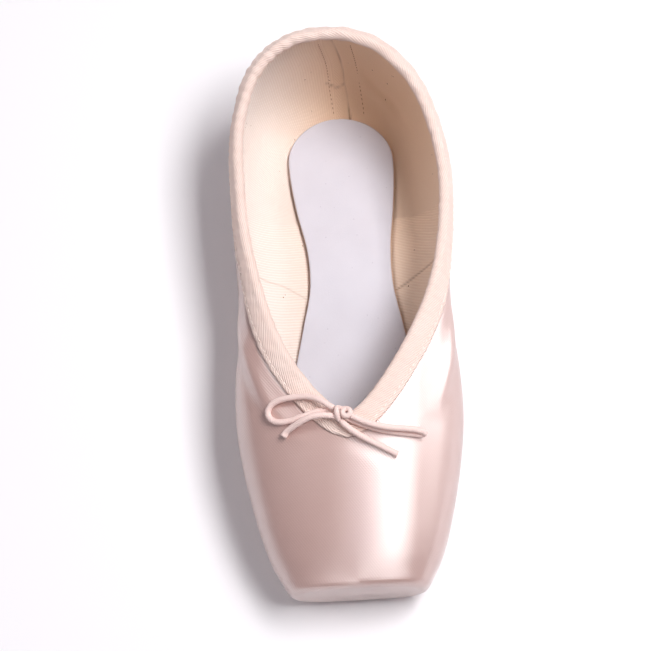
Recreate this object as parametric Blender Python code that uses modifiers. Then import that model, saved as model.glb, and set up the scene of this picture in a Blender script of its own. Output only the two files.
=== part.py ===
# Pointe shoe, new and untied, standing on its sole.
# Metres, +Z up. The toe points to -Y and the heel to +Y. The floor is z = 0.
# Tables and sizes are in millimetres and are turned to metres when a mesh is made.

from collections import namedtuple
from math import acos, cos, pi, radians, sin, sqrt

import bmesh
import bpy
from mathutils import Vector

MM = 0.001

# Driving sizes of the last
LENGTH = 232.0
TIP_Y = -LENGTH / 2
HEEL_Y = LENGTH / 2
PIVOT_Y = 50.0              # the heel's stations fan out around this place
SIDE_REACH = 45.6           # half-width of the upper at the pivot
HEEL_CURVE = 2.5            # roundness of the heel seen from above, 2 is an ellipse
SEAT_CURVE = 3.0            # the same for its flat bottom
RIM_CURVE = 2.3             # and for its collar

# Walls, gaps and layers
WALL = 1.8
BOX_WALL = 3.0              # paste and canvas stiffen the box
BOX_FRONT = -85.0
BOX_BACK = -60.0
GAP = 0.3
SOLE_THICK = 2.5
INSOLE_THICK = 1.6
SOLE_MARGIN = 5.0           # how far the upper is turned in over the outsole
STEP_CLEAR = 2.0
TAPE_GAP = 0.45

# Collar and throat, on the upper's outer face
THROAT_Y = -54.5
RIM_HALF = 42.7
RIM_BACK = 61.5
V_FALL = 1.35               # 1 would be a straight V, 2 an oval

# How far the soft upper edge leans to one side, growing between two heights
WAIST_SWAY = 2.2
HEEL_SWAY = 2.4
SWAY_FROM = 22.0
SWAY_TO = 50.0

# Platform at the toe
EDGE_WIDE = 3.5
EDGE_HIGH = 2.5
EDGE_TURNS = (radians(30), radians(60), radians(90))
PLATFORM_RINGS = (0.66, 0.33)

# Ground line: the outsole's underside
FLAT_FRONT = -80.0
ARCH_FRONT = -20.0
ARCH_BACK = 60.0
ARCH_RISE = 4.0
TOE_SPRING = 3.0

# Distance along the collar over which its direction is read
TANGENT_STEP = 0.4

# Pleats under the toe
PLEAT_DEPTH = 0.55
PLEAT_FRONT = -108.0
PLEAT_BACK = -96.0

# Binding tape with its drawstring inside: a leg on each face of the wall, a round top
TAPE = 0.7
TAPE_OUT_LEG = (7.0, 4.8, 2.6, 0.6)
TAPE_IN_LEG = (0.6, 3.0)
CASING_RISE = 2.1
CASING_BULGE = 0.35
CASING_STEPS = 5

# Bow of cotton cord at the throat. Each point is x, y and its height over the vamp.
CORD_ACROSS = 2.2
KNOT_AT = (-1.6, -52.9, 4.25)
KNOT_SIZE = (3.4, 3.0, 2.6)
LOOP_LEFT = (
    (-5.0, -51.2, 5.6), (-8.6, -48.6, 5.5), (-12.0, -46.4, 4.7), (-16.0, -45.0, 3.7),
    (-20.5, -44.5, 3.0), (-25.0, -44.5, 2.6), (-29.0, -45.4, 2.2), (-31.0, -47.6, 1.9),
    (-30.8, -50.2, 1.7), (-28.6, -52.4, 1.6), (-25.4, -53.2, 1.6), (-21.6, -53.1, 1.8),
    (-17.6, -52.4, 2.5), (-13.4, -51.4, 2.6), (-9.4, -51.0, 2.8), (-5.3, -51.2, 3.0),
)
END_LEFT = (
    (-5.4, -54.0, 4.7), (-9.4, -53.6, 5.5), (-13.6, -53.8, 5.6), (-17.4, -54.8, 4.8),
    (-20.8, -55.9, 3.2), (-23.8, -57.2, 1.9), (-25.4, -58.9, 1.6),
)
LOOP_RIGHT = (
    (1.8, -54.6, 5.3), (6.0, -56.8, 5.1), (11.0, -59.0, 5.2), (17.0, -60.4, 5.2),
    (23.4, -60.8, 4.8), (27.6, -61.1, 4.3), (29.4, -61.7, 3.1), (27.6, -62.0, 1.9),
    (23.4, -61.6, 1.6), (17.0, -60.7, 1.8), (11.0, -59.4, 2.3), (6.2, -57.5, 2.6),
    (2.2, -55.3, 2.7),
)
END_RIGHT = (
    (-1.6, -56.7, 4.1), (1.4, -59.3, 3.2), (4.9, -61.7, 2.9), (9.2, -64.0, 2.0),
    (14.2, -66.5, 1.5), (18.9, -69.0, 1.5),
)
CORD_POINT_EVERY = 2.6
CURVE_STEPS = 12

# Sections of the upper from toe to heel pivot. y is the place, reach the half-width at
# the widest height, rim the height of the crest or of the collar edge, flat the
# half-width of the flat bottom, low and high the roundness below and above the widest.
Section = namedtuple("Section", "y reach widest rim flat bottom low high")
SECTIONS = (
    Section(-112.5, 28.8, 17.0, 31.8, 12.0, 1.8, 2.5, 2.8),
    Section(-104.0, 33.4, 18.0, 36.6, 16.0, 2.2, 2.4, 2.7),
    Section(-94.0, 37.0, 19.5, 41.0, 20.0, 2.8, 2.3, 2.6),
    Section(-80.0, 40.6, 21.5, 45.4, 25.0, 2.8, 2.3, 2.5),
    Section(-64.0, 43.8, 23.5, 49.0, 29.0, 2.8, 2.2, 2.4),
    Section(-48.0, 45.7, 25.5, 51.0, 31.0, 2.8, 2.2, 2.3),
    Section(-30.0, 45.5, 27.5, 50.4, 29.5, 2.8, 2.1, 2.3),
    Section(-10.0, 43.6, 30.0, 47.8, 25.5, 2.8, 2.0, 2.3),
    Section(8.0, 43.0, 32.0, 46.0, 23.0, 2.8, 2.0, 2.3),
    Section(28.0, 44.6, 33.0, 45.6, 22.8, 2.8, 2.0, 2.3),
    Section(50.0, SIDE_REACH, 33.0, 47.0, 25.5, 2.8, 2.0, 2.3),
)
# The same at the back of the heel, where reach and flat run from the pivot
HEEL = Section(HEEL_Y, HEEL_Y - PIVOT_Y, 28.0, 60.5, 50.0, 2.8, 2.1, 2.3)
HEEL_END = PIVOT_Y + HEEL.reach * pi / 2

# Outline of the outsole: half-width along the foot, rounded at both ends
Width = namedtuple("Width", "y half shift")
SOLE_ROWS = (
    Width(-94.0, 24.0, 0.0),
    Width(-74.0, 24.5, 0.0),
    Width(-52.0, 26.0, 0.0),
    Width(-30.0, 23.5, 0.0),
    Width(-5.0, 16.5, 0.0),
    Width(20.0, 13.0, 0.0),
    Width(45.0, 15.5, 0.0),
    Width(72.0, 20.0, 0.0),
    Width(98.0, 20.0, 0.0),
)
INSOLE_ROWS = (
    Width(-86.0, 23.0, 0.0),
    Width(-66.0, 26.5, 0.0),
    Width(-44.0, 28.0, 1.0),
    Width(-22.0, 25.5, 2.0),
    Width(0.0, 21.0, 2.5),
    Width(18.0, 17.4, 2.8),
    Width(36.0, 17.6, 2.4),
    Width(56.0, 20.6, 1.4),
    Width(74.0, 22.3, 0.8),
    Width(98.0, 22.0, 0.0),
)
END_ROUND = 20.0

# Stations along the foot for the two soles' meshes
OUTSOLE_STATIONS = (
    -93.7, -92.5, -90.5, -87.5, -83.5, -78.0, -71.5, -59.5, -47.0, -34.0, -26.0, -17.0,
    -7.0, 4.0, 15.0, 26.0, 38.0, 50.0, 60.0, 70.0, 80.0, 87.0, 92.0, 95.5, 97.0, 97.7,
)
INSOLE_ENDS = (0.3, 1.2, 3.2, 7.0, 12.0)
SOLE_EDGE = 0.7

# Stations of the upper's mesh
STATIONS = (
    -112.5, -109.5, -105.5, -101.0, -97.0, -93.0, -89.0, -87.5, -83.5, -78.0, -71.5,
    -65.0, -59.5, -56.5, -54.5, -53.5, -51.0, -47.0, -41.0, -34.0, -26.0, -17.0, -7.0,
    4.0, 15.0, 26.0, 38.0, 50.0,
)
FAN_STEPS = 9
BOTTOM_STEPS = 5
LOW_STEPS = 6
HIGH_STEPS = 8

CREAM = (0.87, 0.76, 0.70, 1.0)
SATIN = (0.86, 0.66, 0.61, 1.0)
SOCK = (0.79, 0.76, 0.79, 1.0)
LEATHER = (0.55, 0.40, 0.29, 1.0)
CORD = (0.88, 0.70, 0.65, 1.0)


def clear_scene():
    for thing in list(bpy.data.objects):
        bpy.data.objects.remove(thing, do_unlink=True)


def smoothstep(a, b, t):
    t = min(max((t - a) / (b - a), 0.0), 1.0)
    return t * t * (3 - 2 * t)


def read_rows(rows, name, y):
    # Smooth curve through one column of a table, flat beyond its ends.
    ys = [row.y for row in rows]
    values = [getattr(row, name) for row in rows]
    if y <= ys[0]:
        return values[0]
    if y >= ys[-1]:
        return values[-1]
    i = max(k for k in range(len(ys) - 1) if ys[k] <= y)
    span = ys[i + 1] - ys[i]
    t = (y - ys[i]) / span

    def slope(k):
        a, b = max(k - 1, 0), min(k + 1, len(ys) - 1)
        return (values[b] - values[a]) / (ys[b] - ys[a]) * span

    h = values[i + 1] - values[i]
    return (
        values[i]
        + t * slope(i)
        + t * t * (3 * h - 2 * slope(i) - slope(i + 1))
        + t * t * t * (slope(i) + slope(i + 1) - 2 * h)
    )


def ground(y):
    # Height of the outsole's underside: toe spring, forefoot, arch, heel.
    if y < FLAT_FRONT:
        return TOE_SPRING * ((FLAT_FRONT - y) / (FLAT_FRONT - TIP_Y)) ** 2
    if ARCH_FRONT < y < ARCH_BACK:
        return ARCH_RISE * sin(pi * (y - ARCH_FRONT) / (ARCH_BACK - ARCH_FRONT)) ** 2
    return 0.0


def oval_reach(side, back, curve, angle):
    # Distance from the pivot to an oval, at an angle from straight sideways.
    return (abs(cos(angle) / side) ** curve + abs(sin(angle) / back) ** curve) ** (-1 / curve)


def wall_at(y):
    return BOX_WALL - (BOX_WALL - WALL) * smoothstep(BOX_FRONT, BOX_BACK, y)


def outline_half(rows, inset, y):
    # Half-width of a sole outline with round ends, drawn in by an inset.
    front, back = rows[0].y + inset, rows[-1].y - inset
    if y <= front or y >= back:
        return 0.0
    turn = END_ROUND - inset
    half = read_rows(rows, "half", y) - inset
    from_end = min(y - front, back - y)
    if from_end < turn:
        half *= sqrt(1 - ((turn - from_end) / turn) ** 2)
    return half


def outline_reach(rows, inset, angle):
    # The same outline met by a ray from the pivot.
    near, far = 0.0, 2 * HEEL.reach
    for _ in range(40):
        middle = (near + far) / 2
        y = PIVOT_Y + middle * sin(angle)
        if middle * cos(angle) < outline_half(rows, inset, y):
            near = middle
        else:
            far = middle
    return near


def rim_half(y):
    # Half-width of the collar ahead of the pivot: a V with soft sides.
    if y <= THROAT_Y:
        return 0.0
    u = (PIVOT_Y - y) / (PIVOT_Y - THROAT_Y)
    return RIM_HALF * (1 - u * u) ** (1 / V_FALL)


def station(t):
    # Section at t, which is y ahead of the pivot and y + arc length behind it.
    if t <= PIVOT_Y:
        values = [read_rows(SECTIONS, name, t) for name in Section._fields[1:]]
        return 0.0, t, Section(t, *values), rim_half(t), outline_half(SOLE_ROWS, SOLE_MARGIN, t)
    angle = (t - PIVOT_Y) / HEEL.reach
    side, back = SECTIONS[-1], HEEL
    share = sin(angle) ** 2
    names = Section._fields
    blend = {n: getattr(side, n) * (1 - share) + getattr(back, n) * share for n in names}
    blend["reach"] = oval_reach(side.reach, back.reach, HEEL_CURVE, angle)
    blend["flat"] = oval_reach(side.flat, back.flat, SEAT_CURVE, angle)
    rim = oval_reach(RIM_HALF, RIM_BACK, RIM_CURVE, angle)
    return angle, PIVOT_Y, Section(**blend), rim, outline_reach(SOLE_ROWS, SOLE_MARGIN, angle)


def rim_angle(row, rim):
    return acos(min((rim / row.reach) ** (row.high / 2), 1.0))


def crown_height(row, rim):
    return row.widest + (row.rim - row.widest) / sin(rim_angle(row, rim)) ** (2 / row.high)


def sway(x, y, z):
    # The soft quarters lean a little to one side at the waist and back at the heel.
    lift = smoothstep(SWAY_FROM, SWAY_TO, z)
    waist = smoothstep(-35.0, 15.0, y) * (1 - smoothstep(45.0, 85.0, y))
    heel = smoothstep(80.0, 112.0, y)
    return x + lift * (WAIST_SWAY * waist - HEEL_SWAY * heel)


def place(angle, origin_y, reach, z, side, low_share=0.0):
    x = reach * cos(angle)
    y = origin_y + reach * sin(angle)
    z = z + ground(y) * low_share
    return Vector((sway(x * side, y, z), y, z))


def upper_point(t, b, side):
    # Point of the upper's outer face above its widest line, b from 0 to pi / 2.
    angle, origin_y, row, rim, _ = station(t)
    crown = crown_height(row, rim)
    reach = row.reach * max(cos(b), 0.0) ** (2 / row.high)
    z = row.widest + (crown - row.widest) * max(sin(b), 0.0) ** (2 / row.high)
    return place(angle, origin_y, reach, z, side)


def half_profile(t, side):
    # Points from the sole opening, or the bottom centre, up to the collar or the crest.
    angle, origin_y, row, rim, opening = station(t)
    points = []
    for i in range(BOTTOM_STEPS):
        reach = opening + (row.flat - opening) * i / BOTTOM_STEPS
        z = row.bottom
        if opening == 0.0 and PLEAT_FRONT < t < PLEAT_BACK:
            z += PLEAT_DEPTH * (1 if i % 2 else -1)
        points.append(place(angle, origin_y, reach, z, side, 1.0))
    for i in range(LOW_STEPS):
        a = pi / 2 * i / LOW_STEPS
        out = sin(a) ** (2 / row.low)
        up = 1 - cos(a) ** (2 / row.low)
        reach = row.flat + (row.reach - row.flat) * out
        z = row.bottom + (row.widest - row.bottom) * up
        points.append(place(angle, origin_y, reach, z, side, 1 - up))
    last = rim_angle(row, rim)
    for i in range(HIGH_STEPS + 1):
        points.append(upper_point(t, last * i / HIGH_STEPS, side))
    return points


def platform_rings(side):
    # The rounded edge of the platform and its flat face, shrunk from the first section.
    base = half_profile(STATIONS[0], side)
    row = SECTIONS[0]
    low = min(p.z for p in base)
    high = max(p.z for p in base)
    middle = Vector((0.0, 0.0, (low + high) / 2))
    depth = STATIONS[0] - TIP_Y
    rings = []
    for turn in EDGE_TURNS:
        inset = 1 - cos(turn)
        wide = 1 - inset * EDGE_WIDE / row.reach
        tall = 1 - inset * EDGE_HIGH / (high - middle.z)
        y = STATIONS[0] - depth * sin(turn)
        rings.append([Vector((p.x * wide, y, middle.z + (p.z - middle.z) * tall)) for p in base])
    edge = rings[-1]
    for share in PLATFORM_RINGS:
        rings.append([Vector((p.x * share, TIP_Y, middle.z + (p.z - middle.z) * share)) for p in edge])
    rings.append([Vector((0.0, TIP_Y, middle.z)) for _ in edge])
    return rings[::-1]


def stations_all():
    fan = [PIVOT_Y + (HEEL_END - PIVOT_Y) * i / FAN_STEPS for i in range(1, FAN_STEPS + 1)]
    return list(STATIONS) + fan


def mesh_from_grids(name, grids):
    # One mesh from grids of points, with shared edges welded.
    bm = bmesh.new()
    for grid, flip in grids:
        verts = [[bm.verts.new(p * MM) for p in row] for row in grid]
        for a, b in zip(verts, verts[1:]):
            for j in range(len(a) - 1):
                corners = (a[j], a[j + 1], b[j + 1], b[j])
                bm.faces.new(corners[::-1] if flip else corners)
    bmesh.ops.remove_doubles(bm, verts=bm.verts, dist=0.00001)
    bmesh.ops.dissolve_degenerate(bm, edges=bm.edges, dist=0.000001)
    mesh = bpy.data.meshes.new(name)
    bm.to_mesh(mesh)
    bm.free()
    return mesh


def material(name, colour, roughness):
    made = bpy.data.materials.new(name)
    made.use_nodes = True
    shader = made.node_tree.nodes["Principled BSDF"]
    shader.inputs["Base Color"].default_value = colour
    shader.inputs["Roughness"].default_value = roughness
    shader.inputs["Metallic"].default_value = 0.0
    return made


def add_object(name, mesh, home, look):
    thing = bpy.data.objects.new(name, mesh)
    home.objects.link(thing)
    mesh.materials.append(look)
    return thing


def make_upper(home):
    grids = []
    for side in (1, -1):
        rows = platform_rings(side) + [half_profile(t, side) for t in stations_all()]
        grids.append((rows, side > 0))
    mesh = mesh_from_grids("upper", grids)
    upper = add_object("upper", mesh, home, material("satin", SATIN, 0.3))
    stiff = upper.vertex_groups.new(name="box")
    for vertex in mesh.vertices:
        share = (wall_at(vertex.co.y / MM) - WALL) / (BOX_WALL - WALL)
        stiff.add([vertex.index], share, "REPLACE")
    wall = upper.modifiers.new("wall", "SOLIDIFY")
    wall.thickness = BOX_WALL * MM
    wall.offset = -1.0
    wall.use_even_offset = True
    wall.vertex_group = "box"
    wall.thickness_vertex_group = WALL / BOX_WALL
    return upper


def surface_steps(t, b, side):
    # The outer face's two directions and its outward normal at one place.
    h = 0.02
    here = upper_point(t, b, side)
    along = (upper_point(t + h, b, side) - here) / h
    back = h / 20
    up = (here - upper_point(t, b - back, side)) / back
    normal = along.cross(up).normalized() * side
    return here, along, up, normal


def walk(t, b, side, heading, distance):
    # Follow the outer face from one place for a distance, as a strip of tape does.
    count = max(1, round(distance))
    for _ in range(count):
        _, along, up, normal = surface_steps(t, b, side)
        heading = (heading - normal * heading.dot(normal)).normalized()
        step = heading * distance / count
        aa, ab, bb = along.dot(along), along.dot(up), up.dot(up)
        pa, pb = step.dot(along), step.dot(up)
        det = aa * bb - ab * ab
        t += (pa * bb - pb * ab) / det
        b += (pb * aa - pa * ab) / det
    return t, b


def rim_place(t):
    _, _, row, rim, _ = station(t)
    return min(rim_angle(row, rim), pi / 2 - 0.0004)


def tape_profile(t, side):
    # The tape's mid-line across the collar at one station, outer leg first.
    b = rim_place(t)
    ahead, behind = max(t - TANGENT_STEP, THROAT_Y), min(t + TANGENT_STEP, HEEL_END)
    edge = upper_point(behind, rim_place(behind), side) - upper_point(ahead, rim_place(ahead), side)
    here, _, _, normal = surface_steps(t, b, side)
    on_middle = t in (THROAT_Y, behind)
    if on_middle:
        edge = Vector((side if t == THROAT_Y else -side, 0.0, 0.0))
        normal = Vector((0.0, normal.y, normal.z)).normalized()
    down = edge.cross(normal).normalized() * side
    out = TAPE_GAP + TAPE / 2
    inside = -(WALL + out)
    points = []
    for reach in TAPE_OUT_LEG:
        p, _, _, n = surface_steps(*walk(t, b, side, down, reach), side)
        points.append(p + n * out)
    middle = (out + inside) / 2
    half = (out - inside) / 2 + CASING_BULGE
    for i in range(CASING_STEPS):
        turn = pi * i / (CASING_STEPS - 1)
        rise = CASING_RISE * sin(turn)
        points.append(here + normal * (middle + half * cos(turn)) - down * (rise + 0.1))
    for reach in TAPE_IN_LEG:
        p, _, _, n = surface_steps(*walk(t, b, side, down, reach), side)
        points.append(p + n * inside)
    if on_middle:
        points = [Vector((sway(0.0, p.y, p.z), p.y, p.z)) for p in points]
    return points


def make_binding(home):
    grids = []
    for side in (1, -1):
        rows = [tape_profile(t, side) for t in stations_all() if t >= THROAT_Y]
        grids.append((rows, side < 0))
    mesh = mesh_from_grids("binding", grids)
    binding = add_object("binding", mesh, home, material("twill_tape", CREAM, 0.8))
    tape = binding.modifiers.new("tape", "SOLIDIFY")
    tape.thickness = TAPE * MM
    tape.offset = 0.0
    tape.use_even_offset = True
    return binding


def mesh_from_rings(name, rings):
    # A closed solid from rings of the same count, with a flat face at each end.
    bm = bmesh.new()
    loops = [[bm.verts.new(Vector(p) * MM) for p in ring] for ring in rings]
    for a, b in zip(loops, loops[1:]):
        for j in range(len(a)):
            k = (j + 1) % len(a)
            bm.faces.new((a[j], b[j], b[k], a[k]))
    bm.faces.new(loops[0])
    bm.faces.new(loops[-1][::-1])
    bmesh.ops.remove_doubles(bm, verts=bm.verts, dist=0.00001)
    bmesh.ops.recalc_face_normals(bm, faces=bm.faces)
    mesh = bpy.data.meshes.new(name)
    bm.to_mesh(mesh)
    bm.free()
    return mesh


def make_outsole(home):
    rings = []
    for y in OUTSOLE_STATIONS:
        half, low = outline_half(SOLE_ROWS, 0.0, y), ground(y)
        right = [
            (half - SOLE_EDGE, y, low),
            (half, y, low + SOLE_EDGE),
            (half, y, low + SOLE_THICK - SOLE_EDGE / 2),
            (half - SOLE_EDGE / 2, y, low + SOLE_THICK),
        ]
        rings.append(right + [(-x, y, z) for x, y, z in right[::-1]])
    mesh = mesh_from_rings("outsole", rings)
    return add_object("outsole", mesh, home, material("leather", LEATHER, 0.6))


def insole_stations():
    front, back = INSOLE_ROWS[0].y, INSOLE_ROWS[-1].y
    clear = INSOLE_ENDS[-1] + 3
    middle = [y for y in OUTSOLE_STATIONS if front + clear < y < back - clear]
    return [front + e for e in INSOLE_ENDS] + middle + [back - e for e in INSOLE_ENDS[::-1]]


def make_insole(home):
    # Its middle is thicker by one wall, so that it lies on the outsole in the upper's opening.
    rings = []
    for y in insole_stations():
        half = outline_half(INSOLE_ROWS, 0.0, y)
        shift = read_rows(INSOLE_ROWS, "shift", y)
        seat = ground(y) + SOLE_THICK + GAP
        sheet = seat + wall_at(y) + GAP
        fill = outline_half(SOLE_ROWS, SOLE_MARGIN + STEP_CLEAR, y)
        if fill == 0.0:
            seat = sheet
        top = sheet + INSOLE_THICK
        rings.append([
            (shift - half, y, top), (shift + half, y, top), (shift + half, y, sheet),
            (fill, y, sheet), (fill, y, seat), (-fill, y, seat), (-fill, y, sheet),
            (shift - half, y, sheet),
        ])
    return add_object("insole", mesh_from_rings("insole", rings), home, material("sock", SOCK, 0.7))


def vamp_height(x, y):
    _, _, row, rim, _ = station(y)
    crown = crown_height(row, rim)
    share = min(abs(x) / row.reach, 1.0) ** row.high
    return row.widest + (crown - row.widest) * (1 - share) ** (1 / row.high)


def over_vamp(point):
    x, y, lift = point
    return Vector((x, y, vamp_height(x, y) + lift))


def through_points(points, spacing):
    # Even points on a smooth curve through a short list of points.
    last = len(points) - 1
    fine = []
    for i in range(last):
        p0, p1 = points[max(i - 1, 0)], points[i]
        p2, p3 = points[i + 1], points[min(i + 2, last)]
        for k in range(CURVE_STEPS):
            t = k / CURVE_STEPS
            bend = 2 * p0 - 5 * p1 + 4 * p2 - p3
            twist = 3 * p1 - p0 - 3 * p2 + p3
            fine.append(p1 + 0.5 * ((p2 - p0) * t + bend * t * t + twist * t ** 3))
    fine.append(points[-1])
    lengths = [0.0]
    for a, b in zip(fine, fine[1:]):
        lengths.append(lengths[-1] + (b - a).length)
    count = max(2, round(lengths[-1] / spacing))
    even = []
    for i in range(count + 1):
        goal = lengths[-1] * i / count
        k = max(j for j in range(len(fine) - 1) if lengths[j] <= goal + 1e-9)
        share = (goal - lengths[k]) / max(lengths[k + 1] - lengths[k], 1e-9)
        even.append(fine[k].lerp(fine[k + 1], min(share, 1.0)))
    return even


def make_cord(name, route, home, look):
    curve = bpy.data.curves.new(name, "CURVE")
    curve.dimensions = "3D"
    curve.bevel_depth = CORD_ACROSS / 2 * MM
    curve.bevel_resolution = 2
    curve.use_fill_caps = True
    points = through_points([over_vamp(p) for p in route], CORD_POINT_EVERY)
    spline = curve.splines.new("POLY")
    spline.points.add(len(points) - 1)
    for slot, p in zip(spline.points, points):
        slot.co = (*(p * MM), 1.0)
    return add_object(name, curve, home, look)


def make_bow(home):
    look = material("cotton_cord", CORD, 0.85)
    make_cord("bow_loop_left", LOOP_LEFT, home, look)
    make_cord("bow_loop_right", LOOP_RIGHT, home, look)
    make_cord("bow_end_left", END_LEFT, home, look)
    make_cord("bow_end_right", END_RIGHT, home, look)
    bm = bmesh.new()
    bmesh.ops.create_uvsphere(bm, u_segments=16, v_segments=8, radius=MM)
    mesh = bpy.data.meshes.new("bow_knot")
    bm.to_mesh(mesh)
    bm.free()
    knot = add_object("bow_knot", mesh, home, look)
    knot.scale = KNOT_SIZE
    knot.location = over_vamp(KNOT_AT) * MM


def main():
    clear_scene()
    shoe = bpy.data.collections.new("pointe_shoe")
    bpy.context.scene.collection.children.link(shoe)
    make_upper(shoe)
    make_outsole(shoe)
    make_insole(shoe)
    make_binding(shoe)
    make_bow(shoe)


main()
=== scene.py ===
# Looks of a new pink satin pointe shoe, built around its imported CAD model.
# Toe to -Y, heel to +Y, floor at z = 0. Sizes are in millimetres until a mesh is made.

from collections import namedtuple
from math import acos, cos, pi, radians, sin, sqrt

import bmesh
import bpy
import numpy as np
from mathutils import Matrix, Vector


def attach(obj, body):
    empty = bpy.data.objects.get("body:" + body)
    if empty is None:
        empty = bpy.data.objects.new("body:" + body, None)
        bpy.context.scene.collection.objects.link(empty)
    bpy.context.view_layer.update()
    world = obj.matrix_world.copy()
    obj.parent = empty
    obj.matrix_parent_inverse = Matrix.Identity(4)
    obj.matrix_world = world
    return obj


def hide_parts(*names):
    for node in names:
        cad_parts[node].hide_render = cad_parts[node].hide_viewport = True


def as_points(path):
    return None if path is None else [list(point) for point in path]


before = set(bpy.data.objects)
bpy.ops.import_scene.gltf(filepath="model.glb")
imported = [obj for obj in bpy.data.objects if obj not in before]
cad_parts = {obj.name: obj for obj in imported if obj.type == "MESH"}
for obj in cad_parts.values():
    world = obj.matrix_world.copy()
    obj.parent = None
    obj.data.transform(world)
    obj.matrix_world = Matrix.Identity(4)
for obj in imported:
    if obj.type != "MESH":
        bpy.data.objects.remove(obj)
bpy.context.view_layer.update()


# Camera, table and studio light
# The shoe is seen from above its toe with the camera turned a little, on a white table.
# A softbox at its right gives the shadows, a wide panel and the pale room fill the shade,
# and four white reflectors show only in the satin's gloss.

MM = 0.001
VIEW_UP = radians(69.0)
VIEW_ROUND = radians(5.7)
VIEW_ROLL = radians(-8.9)
VIEW_AWAY = 0.95
VIEW_WIDE = 0.2735          # width of the picture at the shoe
SENSOR = 36.0
VIEW_SHIFT = (-0.0349, 0.0157)


def linear(code):
    # An sRGB hex colour as linear red, green, blue and alpha.
    parts = [int(code[i:i + 2], 16) / 255 for i in (1, 3, 5)]
    return [c / 12.92 if c < 0.04045 else ((c + 0.055) / 1.055) ** 2.4 for c in parts] + [1.0]


def add_node(tree, kind, values=None, links=None, **settings):
    made = tree.nodes.new("ShaderNode" + kind)
    for name, value in settings.items():
        setattr(made, name, value)
    for name, value in (values or {}).items():
        made.inputs[name].default_value = value
    for name, source in (links or {}).items():
        tree.links.new(source, made.inputs[name])
    return made


def start_finish(name, colour, **values):
    made = bpy.data.materials.new(name)
    made.use_nodes = True
    shader = made.node_tree.nodes["Principled BSDF"]
    shader.inputs["Base Color"].default_value = linear(colour)
    for key, value in values.items():
        shader.inputs[key.replace("_", " ")].default_value = value
    return made, made.node_tree, shader


def view_axes():
    away = Vector((sin(VIEW_ROUND) * cos(VIEW_UP), -cos(VIEW_ROUND) * cos(VIEW_UP), sin(VIEW_UP)))
    right = Vector((cos(VIEW_ROUND), sin(VIEW_ROUND), 0.0))
    up = away.cross(right)
    turned = right * cos(VIEW_ROLL) + up * sin(VIEW_ROLL)
    return turned, away.cross(turned), away


lens = bpy.data.cameras.new("photo_view")
lens.sensor_width = SENSOR
lens.lens = SENSOR * VIEW_AWAY / VIEW_WIDE
lens.shift_x, lens.shift_y = VIEW_SHIFT
lens.clip_start = 0.01
camera = bpy.data.objects.new("photo_view", lens)
bpy.context.scene.collection.objects.link(camera)
axes = view_axes()
camera.matrix_world = Matrix.Translation(axes[2] * VIEW_AWAY) @ Matrix(axes).transposed().to_4x4()
bpy.context.scene.camera = camera

bpy.ops.mesh.primitive_grid_add(x_subdivisions=1, y_subdivisions=1, size=6.0)
table = bpy.context.object
table.name = "table"
# Matt white laminate: a plain pale ground that takes a soft shadow
laminate, tree, shader = start_finish("white_laminate", "#F6F4F6", Roughness=0.9)
shader.inputs["Specular IOR Level"].default_value = 0.1
table.data.materials.append(laminate)


def add_softbox(name, place, target, size, watts, colour):
    lamp = bpy.data.lights.new(name, "AREA")
    lamp.shape = "RECTANGLE"
    lamp.size, lamp.size_y = size
    lamp.energy = watts
    lamp.color = linear(colour)[:3]
    box = bpy.data.objects.new(name, lamp)
    bpy.context.scene.collection.objects.link(box)
    away = (Vector(place) - Vector(target)).normalized()
    side = Vector((0.0, 1.0, 0.0)).cross(away).normalized()
    box.matrix_world = Matrix.Translation(place) @ Matrix((side, away.cross(side), away)).transposed().to_4x4()
    return box


LIT_PLACE = (0.014, -0.03, 0.045)
key = add_softbox("key_softbox", (0.535, 0.06, 1.075), LIT_PLACE, (0.38, 0.80), 15.5, "#FFFEFF")
fill = add_softbox("fill_panel", (-1.10, 0.0, 1.15), LIT_PLACE, (1.6, 2.4), 8.5, "#FFFDFC")
key.visible_glossy = fill.visible_glossy = False
over = add_softbox("long_reflector", (0.43, -0.48, 1.185), (0.43, -0.48, 0.0), (0.60, 3.2), 27.0, "#FFFEFF")
right = add_softbox("right_reflector", (1.055, 0.478, 0.635), LIT_PLACE, (1.16, 0.65), 11.0, "#FFFEFF")
low = add_softbox("low_reflector", (1.16, -0.27, 0.595), LIT_PLACE, (1.1, 1.0), 3.5, "#FFFEFF")
left = add_softbox("left_reflector", (-0.40, 0.74, 1.15), LIT_PLACE, (0.6, 0.9), 3.2, "#FFFEFF")
for box in (over, right, low, left):
    box.visible_diffuse = False

room = bpy.data.worlds.new("pale_room")
room.use_nodes = True
room.node_tree.nodes["Background"].inputs["Color"].default_value = linear("#EFE9F6")
room.node_tree.nodes["Background"].inputs["Strength"].default_value = 0.18
bpy.context.scene.world = room
bpy.context.scene.view_settings.view_transform = "Standard"
bpy.context.scene.view_settings.look = "None"


# Last: the shape that the shoe is built on
# The satin, the lining and the tape all follow this form, toe to heel.
# Its tables are the ones that the CAD solids were lofted from.

TIP_Y, HEEL_Y, PIVOT_Y = -116.0, 116.0, 50.0
HEEL_CURVE, SEAT_CURVE, RIM_CURVE = 2.5, 3.0, 2.3
WALL, BOX_WALL = 1.8, 3.0
BOX_FRONT, BOX_BACK = -85.0, -60.0
GAP = 0.3
SOLE_THICK, SOLE_MARGIN = 2.5, 5.0
THROAT_Y, RIM_HALF, RIM_BACK, V_FALL = -54.5, 42.7, 61.5, 1.35
WAIST_SWAY, HEEL_SWAY, SWAY_FROM, SWAY_TO = 2.2, 2.4, 22.0, 50.0
EDGE_WIDE, EDGE_HIGH, EDGE_SOFT = 5.2, 4.8, 0.55
FLAT_FRONT, ARCH_FRONT, ARCH_BACK, ARCH_RISE, TOE_SPRING = -80.0, -20.0, 60.0, 4.0, 3.0
SOLE_TURN = 20.0            # radius of the soles' round ends

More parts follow.
